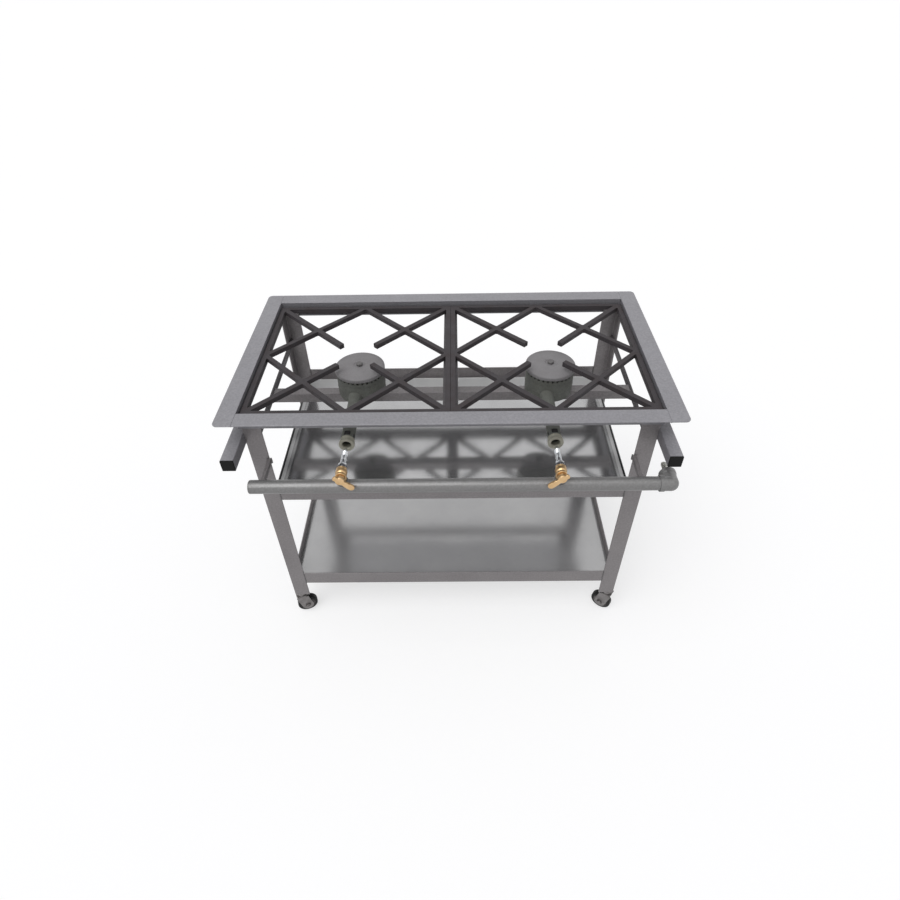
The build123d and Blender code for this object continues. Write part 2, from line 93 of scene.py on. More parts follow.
# ---- Materials -------------------------------------------------------------------------
def linear(colour):
    """The linear RGBA of an sRGB hex colour."""
    parts = [int(colour[i:i + 2], 16) / 255 for i in (1, 3, 5)]
    return [p / 12.92 if p <= 0.04045 else ((p + 0.055) / 1.055) ** 2.4 for p in parts] + [1.0]


def add(tree, kind, values=None, links=None, **settings):
    """One shader node, with its settings, its socket values and what feeds its sockets. A colour
    Mix has its factor at socket 0 and its colours at 6 and 7, and a Map Range has its range at 1
    and 2 and what that becomes at 3 and 4."""
    node = tree.nodes.new(kind)
    for name, value in settings.items():
        setattr(node, name, value)
    for name, value in (values or {}).items():
        node.inputs[name].default_value = value
    for name, source in (links or {}).items():
        tree.links.new(source, node.inputs[name])
    return node


def new_finish(name):
    """An empty material with its Principled shader and the piece's own coordinates."""
    material = bpy.data.materials.new(name)
    material.use_nodes = True
    tree = material.node_tree
    shader = next(n for n in tree.nodes if n.type == "BSDF_PRINCIPLED")
    place = add(tree, "ShaderNodeTexCoord").outputs["Object"]
    return material, tree, shader, place


def sprayed_enamel(name, colour, dusty, dark, rough=(0.34, 0.52)):
    """Silver hammered enamel sprayed on steel: a mottled grey with shallow dimples and a soft
    shine."""
    material, tree, shader, place = new_finish(name)
    # Patches of thin and thick paint, about 90 mm across
    patches = add(tree, "ShaderNodeTexNoise", {"Scale": 11.0, "Detail": 4.0, "Roughness": 0.6},
                  {"Vector": place})
    # Flakes of the hammered finish, 4 mm apart, drawn as coarse as they show in the picture
    flakes = add(tree, "ShaderNodeTexNoise", {"Scale": 240.0, "Detail": 3.0, "Roughness": 0.7},
                 {"Vector": place})
    blend = add(tree, "ShaderNodeMix", {6: linear(colour), 7: linear(dusty)},
                {0: patches.outputs["Fac"]}, data_type="RGBA")
    speck = add(tree, "ShaderNodeMapRange", {1: 0.35, 2: 0.62, 3: 0.0, 4: 0.55},
                {0: flakes.outputs["Fac"]})
    mottled = add(tree, "ShaderNodeMix", {7: linear(dark)},
                  {0: speck.outputs[0], 6: blend.outputs[2]}, data_type="RGBA")
    # Painted shade: darker in the hollow creases and inner corners, where the pointiness is low
    edge = add(tree, "ShaderNodeNewGeometry")
    shade_in_creases = add(tree, "ShaderNodeMapRange", {1: 0.40, 2: 0.47, 3: 0.55, 4: 0.0},
               {0: edge.outputs["Pointiness"]})
    with_crease_shade = add(tree, "ShaderNodeMix", {7: linear("#4B4848")},
               {0: shade_in_creases.outputs[0], 6: mottled.outputs[2]}, data_type="RGBA")
    tree.links.new(with_crease_shade.outputs[2], shader.inputs["Base Color"])
    gloss = add(tree, "ShaderNodeMapRange", {1: 0.3, 2: 0.7, 3: rough[0], 4: rough[1]},
                {0: patches.outputs["Fac"]})
    tree.links.new(gloss.outputs[0], shader.inputs["Roughness"])
    # The dimples of the hammered coat, 5 mm across and half a millimetre deep
    dimples = add(tree, "ShaderNodeTexVoronoi", {"Scale": 210.0, "Randomness": 1.0},
                  {"Vector": place}, feature="SMOOTH_F1")
    bump = add(tree, "ShaderNodeBump", {"Strength": 0.35, "Distance": 0.0006},
               {"Height": dimples.outputs["Distance"]})
    tree.links.new(bump.outputs[0], shader.inputs["Normal"])
    shader.inputs["Metallic"].default_value = 0.35
    return material


def sand_cast_iron(name, colour, pale, rusty, rough=(0.55, 0.8)):
    """Sand-cast iron: a grainy skin, matt, with dust on top and a brown bloom."""
    material, tree, shader, place = new_finish(name)
    # Stains of rust and burnt oil about 40 mm across
    bloom = add(tree, "ShaderNodeTexNoise", {"Scale": 26.0, "Detail": 6.0, "Roughness": 0.65},
                {"Vector": place})
    # The skin that the moulding sand leaves, with bumps 2 to 4 mm apart, coarse enough to show
    grains = add(tree, "ShaderNodeTexNoise", {"Scale": 420.0, "Detail": 4.0, "Roughness": 0.75},
                 {"Vector": place})
    rust = add(tree, "ShaderNodeMapRange", {1: 0.45, 2: 0.72, 3: 0.0, 4: 0.6},
               {0: bloom.outputs["Fac"]})
    base = add(tree, "ShaderNodeMix", {6: linear(colour), 7: linear(rusty)}, {0: rust.outputs[0]},
               data_type="RGBA")
    spot = add(tree, "ShaderNodeMapRange", {1: 0.42, 2: 0.68, 3: 0.0, 4: 0.5},
               {0: grains.outputs["Fac"]})
    skin = add(tree, "ShaderNodeMix", {7: linear(pale)}, {0: spot.outputs[0], 6: base.outputs[2]},
               data_type="RGBA")
    tree.links.new(skin.outputs[2], shader.inputs["Base Color"])
    gloss = add(tree, "ShaderNodeMapRange", {1: 0.3, 2: 0.7, 3: rough[0], 4: rough[1]},
                {0: bloom.outputs["Fac"]})
    tree.links.new(gloss.outputs[0], shader.inputs["Roughness"])
    bump = add(tree, "ShaderNodeBump", {"Strength": 0.6, "Distance": 0.0007},
               {"Height": grains.outputs["Fac"]})
    tree.links.new(bump.outputs[0], shader.inputs["Normal"])
    return material


def turned_metal(name, colour, dull, rough=(0.16, 0.34), metallic=1.0):
    """A bare or plated metal part, turned or cast and handled: bright, with duller stained
    patches."""
    material, tree, shader, place = new_finish(name)
    # Patches dulled by hands and heat, about 14 mm across
    stain = add(tree, "ShaderNodeTexNoise", {"Scale": 70.0, "Detail": 5.0, "Roughness": 0.6},
                {"Vector": place})
    blend = add(tree, "ShaderNodeMix", {6: linear(colour), 7: linear(dull)},
                {0: stain.outputs["Fac"]}, data_type="RGBA")
    tree.links.new(blend.outputs[2], shader.inputs["Base Color"])
    gloss = add(tree, "ShaderNodeMapRange", {1: 0.3, 2: 0.7, 3: rough[0], 4: rough[1]},
                {0: stain.outputs["Fac"]})
    tree.links.new(gloss.outputs[0], shader.inputs["Roughness"])
    # The marks of the tool, about 1 mm apart, so that the highlight is a little broken
    marks = add(tree, "ShaderNodeTexNoise", {"Scale": 900.0, "Detail": 2.0}, {"Vector": place})
    bump = add(tree, "ShaderNodeBump", {"Strength": 0.12, "Distance": 0.0003},
               {"Height": marks.outputs["Fac"]})
    tree.links.new(bump.outputs[0], shader.inputs["Normal"])
    shader.inputs["Metallic"].default_value = metallic
    return material


def galvanised_sheet(name, colour, dull, rough=(0.10, 0.20), metallic=1.0):
    """Galvanised sheet rubbed by use: a clouded mirror with the waves of thin sheet, its zinc
    crystals hardly to be seen."""
    material, tree, shader, place = new_finish(name)
    # Zinc crystals about 14 mm across
    crystals = add(tree, "ShaderNodeTexVoronoi", {"Scale": 70.0}, {"Vector": place}, feature="F1")
    tint = add(tree, "ShaderNodeSeparateColor", links={0: crystals.outputs["Color"]})
    # Clouds of zinc rubbed bright or dull, about 140 mm across
    clouds = add(tree, "ShaderNodeTexNoise", {"Scale": 7.0, "Detail": 5.0, "Roughness": 0.6},
                 {"Vector": place})
    mixed = add(tree, "ShaderNodeMath", {1: 0.08}, {0: tint.outputs[0], 2: clouds.outputs["Fac"]},
                operation="MULTIPLY_ADD")
    share = add(tree, "ShaderNodeMapRange", {1: 0.3, 2: 0.8, 3: 0.0, 4: 1.0}, {0: mixed.outputs[0]})
    blend = add(tree, "ShaderNodeMix", {6: linear(colour), 7: linear(dull)}, {0: share.outputs[0]},
                data_type="RGBA")
    tree.links.new(blend.outputs[2], shader.inputs["Base Color"])
    gloss = add(tree, "ShaderNodeMapRange", {1: 0.3, 2: 0.8, 3: rough[0], 4: rough[1]},
                {0: mixed.outputs[0]})
    tree.links.new(gloss.outputs[0], shader.inputs["Roughness"])
    # Waves of thin sheet, 120 mm long and a few tenths of a millimetre high
    waves = add(tree, "ShaderNodeTexNoise", {"Scale": 8.0, "Detail": 1.0, "Roughness": 0.4},
                {"Vector": place})
    bump = add(tree, "ShaderNodeBump", {"Strength": 0.4, "Distance": 0.001},
               {"Height": waves.outputs["Fac"]})
    tree.links.new(bump.outputs[0], shader.inputs["Normal"])
    shader.inputs["Metallic"].default_value = metallic
    return material


def moulded_plastic(name, colour, dust_colour, rough=0.38):
    """Injection-moulded plastic: even, a little shiny, with a fine spark-eroded grain and some
    dust."""
    material, tree, shader, place = new_finish(name)
    # The grain of the mould, 0.7 mm wide, drawn coarser than the real one so that it can show
    grain = add(tree, "ShaderNodeTexNoise", {"Scale": 1500.0, "Detail": 2.0}, {"Vector": place})
    bump = add(tree, "ShaderNodeBump", {"Strength": 0.1, "Distance": 0.0002},
               {"Height": grain.outputs["Fac"]})
    tree.links.new(bump.outputs[0], shader.inputs["Normal"])
    # Kitchen dust in patches about 22 mm across
    dust = add(tree, "ShaderNodeTexNoise", {"Scale": 45.0, "Detail": 4.0}, {"Vector": place})
    amount = add(tree, "ShaderNodeMapRange", {1: 0.5, 2: 0.85, 3: 0.0, 4: 0.35},
                 {0: dust.outputs["Fac"]})
    dusty = add(tree, "ShaderNodeMix", {6: linear(colour), 7: linear(dust_colour)},
                {0: amount.outputs[0]}, data_type="RGBA")
    tree.links.new(dusty.outputs[2], shader.inputs["Base Color"])
    shader.inputs["Roughness"].default_value = rough
    shader.inputs["Specular IOR Level"].default_value = 0.2
    return material


# Silver hammered enamel on the steel: bluish and clean on top, browner with dust on the legs, a
# darker copy for the parts under the grates as painted shade, thick and glossy on the pipe, dull
# over the welds
top_enamel = sprayed_enamel("silver_enamel_top_frame", "#9A999E", "#8F8E92", "#7E7D80")
leg_enamel = sprayed_enamel("silver_enamel_legs", "#928E8E", "#868283", "#767273")
# Painted shade: the same enamel drawn darker for the parts in the shade under the grates
under_grate_shade_enamel = sprayed_enamel("silver_enamel_under_grates_painted_shade", "#5C595B", "#4D4A4C", "#3C393B",
                             rough=(0.45, 0.6))
pipe_enamel = sprayed_enamel("silver_enamel_pipe", "#8A8A8A", "#7F7E7D", "#706F6E",
                             rough=(0.28, 0.4))
weld_enamel = sprayed_enamel("silver_enamel_welds", "#7C7A7B", "#6C6A6A", "#575556")
# Cast iron: the grates nearly black, the caps bleached by heat, the burners greenish grey
grate_iron = sand_cast_iron("cast_iron_grates", "#2F2B2E", "#403B3E", "#352B29", rough=(0.6, 0.82))
cap_iron = sand_cast_iron("cast_iron_burner_caps", "#7A7879", "#8A8889", "#6C6869",
                          rough=(0.5, 0.65))
burner_iron = sand_cast_iron("cast_iron_burners", "#5B5D58", "#72746D", "#494840")
# The pale machined mouths of the mixing tubes, and the shade in their air openings
mouth_metal = turned_metal("bare_cast_tube_mouths", "#A9A798", "#86847A", rough=(0.45, 0.65),
                           metallic=0.4)
air_shadow = turned_metal("shaded_air_openings", "#0B0A0C", "#070607", rough=(0.8, 0.9),
                          metallic=0.0)
# Turned and plated metal: pale brass valves, bright chrome jets, zinc that has gone dull on the
# castors, and burner bolts dark with heat scale, their darkness also painted shade for the hollow
# in the middle of each cap
brass = turned_metal("machined_brass", "#DFC096", "#C09C6C", rough=(0.26, 0.42))
chrome = turned_metal("chromed_brass_jets", "#D6D8DA", "#B9BCC0", rough=(0.08, 0.2))
zinc_bolt = turned_metal("zinc_plated_bolts", "#C4C5C2", "#98978F", rough=(0.25, 0.45))
hole_shade_bolt = turned_metal("heat_dark_bolts_painted_hole_shade", "#6E6C6C", "#636161", rough=(0.6, 0.75), metallic=0.2)
castor_steel = turned_metal("zinc_plated_castors", "#8C8989", "#6B6867", rough=(0.34, 0.52))
# Galvanised sheet: the tray mirrors the grates; its walls are matt and pale as a painted reflection
# of the tray's floor, with a band of painted shade along their upper edge; and the shelf is a
# duller mirror
tray_zinc = galvanised_sheet("galvanised_drip_tray", "#BEBEBF", "#B2B2B3", rough=(0.10, 0.15),
                             metallic=0.84)
# Painted reflection: the tray's walls drawn pale and nearly matt, as bright as the tray's floor
# they would mirror
wall_reflection_zinc = galvanised_sheet("galvanised_tray_walls_painted_reflection", "#E8E8E7", "#DEDEDD", rough=(0.16, 0.26),
                             metallic=0.15)
# Painted shade: a dark band along the upper edge of the tray's inner side walls
rim_shade_zinc = galvanised_sheet("galvanised_rim_painted_shade", "#2A2A2B", "#1D1D1E", rough=(0.4, 0.6))
shelf_zinc = galvanised_sheet("galvanised_shelf", "#B8B8B8", "#AEAEAF", rough=(0.12, 0.2),
                              metallic=0.64)
# Moulded plastic: matt black tube caps, worn black treads and grey wheel centres
black_plastic = moulded_plastic("moulded_black_caps", "#070707", "#141414", rough=0.62)
tyre_plastic = moulded_plastic("moulded_black_treads", "#171718", "#353331", rough=0.5)
wheel_plastic = moulded_plastic("moulded_grey_wheel_centres", "#777473", "#8B8783", rough=0.5)


# ---- Shapes ----------------------------------------------------------------------------
def along_x(x, y, z):
    """The place at this point whose Z axis is the frame's X axis."""
    return Matrix.Translation((x, y, z)) @ Matrix.Rotation(pi / 2, 4, "Y")


def along_y(x, y, z):
    """The place at this point whose Z axis is the frame's Y axis."""
    return Matrix.Translation((x, y, z)) @ Matrix.Rotation(-pi / 2, 4, "X")


def upright(x, y, z):
    """The place at this point, with no turn."""
    return Matrix.Translation((x, y, z))


def middle_of(node):
    """The middle of a CAD node's box."""
    low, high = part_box(node)
    return (low + high) / 2


def turned(outline, place, steps=32, ring=False):
    """A turned shape from its outline of (radius, height) in millimetres, about the place's Z axis.
    A ring's outline closes on itself, and the others end on the axis."""
    bm = bmesh.new()
    points = [bm.verts.new((radius * MM, 0, height * MM)) for radius, height in outline]
    pairs = list(zip(points, points[1:]))
    if ring:
        pairs.append((points[-1], points[0]))
    edges = [bm.edges.new(pair) for pair in pairs]
    bmesh.ops.spin(bm, geom=points + edges, cent=(0, 0, 0), axis=(0, 0, 1), angle=2 * pi,
                   steps=steps, use_merge=True)
    bmesh.ops.remove_doubles(bm, verts=bm.verts, dist=WELDED)
    bmesh.ops.recalc_face_normals(bm, faces=bm.faces)
    bmesh.ops.transform(bm, matrix=place, verts=bm.verts)
    return bm


def hexagon(flats, length, place, chamfer=0.8):
    """A hexagon bar or nut, its ends chamfered, from the place along its Z axis. Millimetres."""
    bm = bmesh.new()
    radius = flats / sqrt(3) * MM
    bmesh.ops.create_cone(bm, cap_ends=True, segments=6, radius1=radius, radius2=radius,
                          depth=length * MM)
    bmesh.ops.translate(bm, vec=(0, 0, length / 2 * MM), verts=bm.verts)
    ends = [e for e in bm.edges if abs(e.verts[0].co.z - e.verts[1].co.z) < 1e-6]
    bmesh.ops.bevel(bm, geom=ends, offset=chamfer * MM, segments=1, profile=0.5, affect="EDGES",
                    material=-1)
    uprights = [e for e in bm.edges if abs(e.verts[0].co.z - e.verts[1].co.z) > length * 0.4 * MM]
    bmesh.ops.bevel(bm, geom=uprights, offset=0.5 * MM, segments=2, profile=0.5, affect="EDGES",
                    material=-1)
    bmesh.ops.transform(bm, matrix=place, verts=bm.verts)
    return bm


def slab(low, high, corner, steps):
    """A plate between two corners in metres, with rounded edges in millimetres."""
    bm = bmesh.new()
    bmesh.ops.create_cube(bm, size=1.0)
    bmesh.ops.scale(bm, vec=Vector(high) - Vector(low), verts=bm.verts)
    bmesh.ops.translate(bm, vec=(Vector(high) + Vector(low)) / 2, verts=bm.verts)
    bmesh.ops.bevel(bm, geom=bm.edges[:], offset=corner * MM, segments=steps, profile=0.5,
                    affect="EDGES", material=-1)
    return bm


def weld_bead(start, end, size):
    """A hand-laid weld of overlapping ripples from start to end in metres, its size in
    millimetres."""
    bm = bmesh.new()
    start, end = Vector(start), Vector(end)
    run = end - start
    count = max(2, round(run.length / (RIPPLE * MM)))
    for index in range(count + 1):
        swell = 1.0 + 0.14 * sin(index * 2.4 + start.x * 900)
        place = Matrix.Translation(start + run * index / count)
        turn = run.to_track_quat("Z", "X").to_matrix().to_4x4()
        shape = Matrix.Diagonal((size * swell * MM, size * swell * MM, 2.1 * MM, 1))
        bmesh.ops.create_uvsphere(bm, u_segments=8, v_segments=5, radius=1.0,
                                  matrix=place @ turn @ shape)
    return bm


def gather(*shapes):
    """Separate shapes as one."""
    whole = bmesh.new()
    for shape in shapes:
        scratch = bpy.data.meshes.new("scratch")
        shape.to_mesh(scratch)
        shape.free()
        whole.from_mesh(scratch)
        bpy.data.meshes.remove(scratch)
    return whole


def coated(shape, index):
    """The shape with one of its piece's finishes, by number, on every face."""
    for face in shape.faces:
        face.material_index = index
    return shape


def finish_piece(name, shape, finishes, body, stands_for=()):
    """Make a piece of a shape, shade it, and let it ride on its body in place of CAD nodes."""
    mesh = bpy.data.meshes.new(name)
    shape.to_mesh(mesh)
    shape.free()
    mesh.polygons.foreach_set("use_smooth", [True] * len(mesh.polygons))
    mesh.set_sharp_from_angle(angle=radians(38))
    for material in finishes:
        mesh.materials.append(material)
    piece = bpy.data.objects.new(name, mesh)
    bpy.context.scene.collection.objects.link(piece)
    shading = piece.modifiers.new("even_shading", "WEIGHTED_NORMAL")
    shading.keep_sharp = True
    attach(piece, body)
    if stands_for:
        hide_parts(*stands_for)
    return piece


def joined_copy(node):
    """A copy of a CAD node with its loose triangles joined into flat faces."""
    bm = bmesh.new()
    bm.from_mesh(nodes[node].data)
    bmesh.ops.remove_doubles(bm, verts=bm.verts, dist=WELDED)
    bmesh.ops.dissolve_limit(bm, angle_limit=radians(1.5), verts=bm.verts, edges=bm.edges)
    return bm


def hollow_edges(bm, angle=30):
    """The edges of inner corners sharper than this many degrees."""
    return [e for e in bm.edges
            if e.is_manifold and not e.is_convex and e.calc_face_angle(0) > radians(angle)]


def outer_edges(bm, angle=30):
    """The edges of outer corners sharper than this many degrees."""
    return [e for e in bm.edges
            if e.is_manifold and e.is_convex and e.calc_face_angle(0) > radians(angle)]


def round_edges(bm, edges, radius, steps=2):
    """The shape with these edges rounded. Millimetres."""
    if edges:
        bmesh.ops.bevel(bm, geom=edges, offset=radius * MM, segments=steps, profile=0.5,
                        affect="EDGES", material=-1, clamp_overlap=True, loop_slide=True)
    return bm


def rolled_angle(node, root=2.4, edge=0.7):
    """A copy of a CAD piece as rolled steel: a soft root inside the angle and eased edges."""
    bm = joined_copy(node)
    round_edges(bm, hollow_edges(bm), root, 3)
    return round_edges(bm, outer_edges(bm), edge, 2)


# ---- Stand -----------------------------------------------------------------------------
for side in ("front", "back", "left", "right"):
    node = f"top_rail_{side}"
    finish_piece(f"{node}_angle", rolled_angle(node, edge=0.9), [top_enamel], "stand", [node])
    # The grate ledges take the darker enamel that paints the shade under the grates
    node = f"grate_ledge_{side}"
    finish_piece(f"{node}_angle", rolled_angle(node, root=1.2, edge=0.4), [under_grate_shade_enamel], "stand",
                 [node])
    node = f"shelf_rail_{side}"
    finish_piece(f"{node}_angle", rolled_angle(node), [leg_enamel], "stand", [node])
for corner in CORNERS:
    node = f"leg_{corner}"
    finish_piece(f"{node}_angle", rolled_angle(node), [leg_enamel], "stand", [node])
for node in ("tray_rail_front", "tray_rail_back", "tray_runner_left", "tray_runner_right"):
    finish_piece(f"{node}_angle", rolled_angle(node), [leg_enamel], "stand", [node])
# The centre bar and the burner rails take the darker enamel that paints the shade under the grates
for node, enamel in (("grate_centre_bar", under_grate_shade_enamel), ("burner_rail_left", under_grate_shade_enamel),
                     ("burner_rail_right", under_grate_shade_enamel), ("burner_cross_bar", leg_enamel)):
    finish_piece(f"{node}_steel", rolled_angle(node, edge=0.5), [enamel], "stand", [node])
for side in SIDES:
    for node, enamel in ((f"arm_{side}", top_enamel), (f"pipe_bracket_{side}", leg_enamel)):
        finish_piece(f"{node}_steel", rolled_angle(node, edge=0.5), [enamel], "stand", [node])
caps = joined_copy("arm_end_caps")
finish_piece("arm_caps_moulded", round_edges(caps, outer_edges(caps), 1.0, 3), [black_plastic],
             "stand", ["arm_end_caps"])


# ---- Grates ----------------------------------------------------------------------------
for side in SIDES:
    node = f"grate_{side}"
    bm = joined_copy(node)
    standing = [e for e in hollow_edges(bm, 20)
                if abs((e.verts[0].co - e.verts[1].co).normalized().z) > 0.9]
    round_edges(bm, standing, 3.0, 3)
    round_edges(bm, outer_edges(bm), 2.0, 3)
    finish_piece(f"{node}_casting", bm, [grate_iron], node, [node])


# ---- Welds -------------------------------------------------------------------------------
def welds(name, runs, size=2.2):
    """One painted piece of several weld beads on the stand, each from its start to its end."""
    beads = gather(*[weld_bead(start, end, size) for start, end in runs])
    finish_piece(name, beads, [weld_enamel], "stand")


runs = []
for corner in CORNERS:
    low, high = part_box(f"leg_{corner}")
    front_side = corner.startswith("front")
    face = low.y if front_side else high.y
    inner = face + (ANGLE_WALL if front_side else -ANGLE_WALL) * MM
    edge = high.x if corner.endswith("left") else low.x
    for rail in ("shelf", "tray"):
        rail_low, rail_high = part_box(f"{rail}_rail_{'front' if front_side else 'back'}")
        runs.append(((edge, face, rail_low.z + 2 * MM), (edge, face, rail_high.z - 2 * MM)))
        runs.append(((edge, inner, rail_low.z + 5 * MM), (edge, inner, rail_high.z - 2 * MM)))
    runs.append(((low.x + ANGLE_WALL * MM, inner, high.z),
                 (high.x - ANGLE_WALL * MM, inner, high.z)))
welds("leg_welds", runs, 1.6)

runs = []
for side in SIDES:
    low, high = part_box(f"arm_{side}")
    leg_low, leg_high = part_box(f"leg_front_{side}")
    x = high.x if side == "left" else low.x
    for z in (low.z, high.z):
        runs.append(((x, leg_low.y + 2 * MM, z), (x, leg_high.y - 2 * MM, z)))
    low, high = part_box(f"pipe_bracket_{side}")
    for x in (low.x, high.x):
        runs.append(((x, high.y, low.z + MM), (x, high.y, high.z - MM)))
welds("arm_and_bracket_welds", runs)

runs = []
bar_low, bar_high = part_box("burner_cross_bar")
for side in SIDES:
    rail_low, rail_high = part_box(f"burner_rail_{side}")
    x = rail_high.x if side == "left" else rail_low.x
    for y in (bar_low.y, bar_high.y):
        runs.append(((x, y, rail_low.z + 2 * MM), (x, y, bar_high.z - 2 * MM)))
    top_low, top_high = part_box(f"top_rail_{side}")
    x = top_high.x if side == "left" else top_low.x
    for row in ("front", "back"):
        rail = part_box(f"top_rail_{row}")
        below_flange = rail[1].z - 3.4 * MM
        runs.append(((x, rail[0].y + 3 * MM, below_flange), (x, rail[1].y - 6 * MM, below_flange)))
welds("rail_welds", runs, 1.8)


# ---- Burners -----------------------------------------------------------------------------
def rim_teeth(count, radius, low, high, width, depth, place):
    """The teeth round a burner's rim, with the gaps between them that are its flame ports.
    Millimetres."""
    teeth = []
    for index in range(count):
        tooth = slab(Vector((radius - depth, -width / 2, low)) * MM,
                     Vector((radius, width / 2, high)) * MM, 0.5, 1)
        turn = Matrix.Rotation(2 * pi * (index + 0.5) / count, 4, "Z")
        bmesh.ops.transform(tooth, matrix=place @ turn, verts=tooth.verts)
        teeth.append(tooth)
    return gather(*teeth)


def is_window(spot):
    """Whether a place in a mixing tube's own frame is on the floor of its ring of air openings."""
    along = spot.z / MM
    out = spot.xy.length / MM
    return AIR_START + 0.5 < along < AIR_END - 0.5 and AIR_FLOOR - 0.2 < out < AIR_FLOOR + 0.4


def air_bridges(mouth):
    """The four strips of tube wall between a mixing tube's air openings, about the place of its
    mouth."""
    strips = []
    for index in range(4):
        strip = slab(Vector((10.8, -3.5, AIR_START - 0.4)) * MM,
                     Vector((TUBE_RADIUS - 0.1, 3.5, AIR_END + 0.4)) * MM, 0.3, 1)
        turn = Matrix.Rotation(pi * (index + 0.5) / 2, 4, "Z")
        bmesh.ops.transform(strip, matrix=mouth @ turn, verts=strip.verts)
        strips.append(strip)
    return gather(*strips)


for side in SIDES:
    body = f"burner_body_{side}"
    cap = f"burner_cap_{side}"
    bolt = f"burner_bolt_{side}"
    low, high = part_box(body)
    cap_low, cap_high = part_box(cap)
    axis = (cap_low + cap_high) / 2
    rim = (high.z - low.z) / MM
    place = upright(axis.x, axis.y, low.z)
    drum = turned([(4.8, 0), (45, 0), (48, 0.4), (50, 1.6), (50.8, 3.4), (DRUM_RADIUS, 5.6),
                   (DRUM_RADIUS, 21.4), (51.5, 22), (51.5, 22.8), (DRUM_RADIUS, 23.4),
                   (DRUM_RADIUS, rim - 16), (50.3, rim - 15), (50.3, rim - 13.6),
                   (DRUM_RADIUS, rim - 12.6), (DRUM_RADIUS, rim - PORT_DEPTH),
                   (46, rim - PORT_DEPTH), (46, 7.5), (44.5, 6), (8.5, 6), (8, rim - 1),
                   (7.2, rim), (4.8, rim)],
                  place, 72, ring=True)
    teeth = rim_teeth(PORT_COUNT, DRUM_RADIUS, rim - PORT_DEPTH - 0.2, rim, 6.0, 5.0, place)
    tube_x, tube_z = middle_of(f"gas_jet_{side}").xz
    reach = (axis.y - low.y) / MM - 49
    mouth = along_y(tube_x, low.y, tube_z)
    tube = turned([(13.3, 15.6), (TUBE_RADIUS, 16.2), (TUBE_RADIUS, AIR_START),
                   (AIR_FLOOR, AIR_START + 0.4), (AIR_FLOOR, AIR_END - 0.4),
                   (TUBE_RADIUS, AIR_END), (TUBE_RADIUS, reach - 16), (14.2, reach - 7),
                   (15.6, reach - 1), (15.6, reach + 2), (11, reach + 2), (10.5, 15.6)],
                  mouth, 48, ring=True)
    windows = [f for f in tube.faces if is_window(mouth.inverted() @ f.calc_center_median())]
    for face in windows:
        face.material_index = 2
    bridges = air_bridges(mouth)
    threads = [(13.4 + (0.7 if step % 2 else 0.0), 8.6 + step * 0.8) for step in range(9)]
    collar = coated(turned([(8.2, 3.2), (9.4, 0.8), (11, 0), (13.6, 0), (15.1, 0.6), (15.5, 1.6),
                            (15.5, 6.6), (15, 7.6), *threads, (10.6, 15.6), (8.2, 5)],
                           mouth, 48, ring=True), 1)
    finish_piece(f"{body}_casting", gather(drum, teeth, tube, bridges, collar),
                 [burner_iron, mouth_metal, air_shadow], "stand", [body])

    plate = turned([(4.6, 0), (45, 0), (45.6, 0.6), (51.8, 0.6), (52.7, 1.2), (53, 2.2), (53, 6.8),
                    (52.6, 8.2), (51.4, 9.3), (48, 10.2), (43, 11.3), (34, 12.4), (24, 12.9),
                    (13.5, 13), (12.4, 12.6), (11.6, 11.6), (4.6, 11.6)],
                   upright(axis.x, axis.y, cap_low.z), 72, ring=True)
    finish_piece(f"{cap}_casting", plate, [cap_iron], "stand", [cap])

    top = cap_high.z - 1.4 * MM
    bolt_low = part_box(bolt)[0]
    # The bolt is drawn dark: heat scale, and painted shade for the hollow in the middle of the cap
    head = hexagon(12.6, 5.6, upright(axis.x, axis.y, top), 1.2)
    shank_run = (top - bolt_low.z) / MM
    shank = turned([(0, 0), (3.2, 0), (3.9, 0.8), (3.9, shank_run), (0, shank_run)],
                   upright(axis.x, axis.y, bolt_low.z), 20)
    nut = hexagon(15, 4.6, upright(axis.x, axis.y, bolt_low.z + 0.4 * MM), 0.9)
    finish_piece(f"{bolt}_hex", gather(head, shank, nut), [hole_shade_bolt], "stand", [bolt])

    on_drum = (Matrix.Translation((axis.x, axis.y, low.z + 27 * MM))
               @ Matrix.Rotation(radians(-98), 4, "Z")
               @ Matrix.Translation((DRUM_RADIUS * MM, 0, 0)) @ Matrix.Rotation(pi / 2, 4, "Y"))
    plug = turned([(0, 2.2), (1.6, 2.1), (2.6, 1.5), (3.1, 0.6), (3.1, -1), (0, -1)], on_drum, 20)
    finish_piece(f"burner_plug_{side}", plug, [zinc_bolt], "stand")


# ---- Gas pipe ----------------------------------------------------------------------------
pipe_low, pipe_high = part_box("gas_pipe")
plug_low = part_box("gas_pipe_plug")[0]
elbow_low, elbow_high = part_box("inlet_elbow")
pipe_axis = (pipe_low + pipe_high) / 2
length = (pipe_high.x - pipe_low.x) / MM
pipe = turned([(10.6, 0), (13.0, 0), (PIPE_RADIUS, 0.4), (PIPE_RADIUS, length), (10.6, length)],
              along_x(pipe_low.x, pipe_axis.y, pipe_axis.z), 48, ring=True)
finish_piece("gas_pipe_tube", pipe, [pipe_enamel], "stand", ["gas_pipe"])
disc = turned([(0, 0.2), (9.8, 0), (12.4, 0.3), (13.1, 1.1), (13.3, 2.2), (13.3, 3.0), (10.4, 3.0),
               (10.4, 11), (0, 11)],
              along_x(plug_low.x, pipe_axis.y, pipe_axis.z), 48)
finish_piece("gas_pipe_end_disc", disc, [pipe_enamel], "stand", ["gas_pipe_plug"])


def around(middle, radius, other, size=1.7, count=30):
    """A weld round an upright neck of this radius where it meets a pipe along X of the other
    radius. The radii and the size of a bead are in millimetres."""
    beads = bmesh.new()
    for index in range(count):
        angle = 2 * pi * index / count
        x, y = radius * cos(angle), radius * sin(angle)
        place = Matrix.Translation(middle + Vector((x, y, sqrt(other ** 2 - y ** 2))) * MM)
        grow = Matrix.Diagonal((size * MM, size * MM, size * 0.8 * MM, 1))
        bmesh.ops.create_uvsphere(beads, u_segments=8, v_segments=5, radius=1.0,
                                  matrix=place @ grow)
    return beads


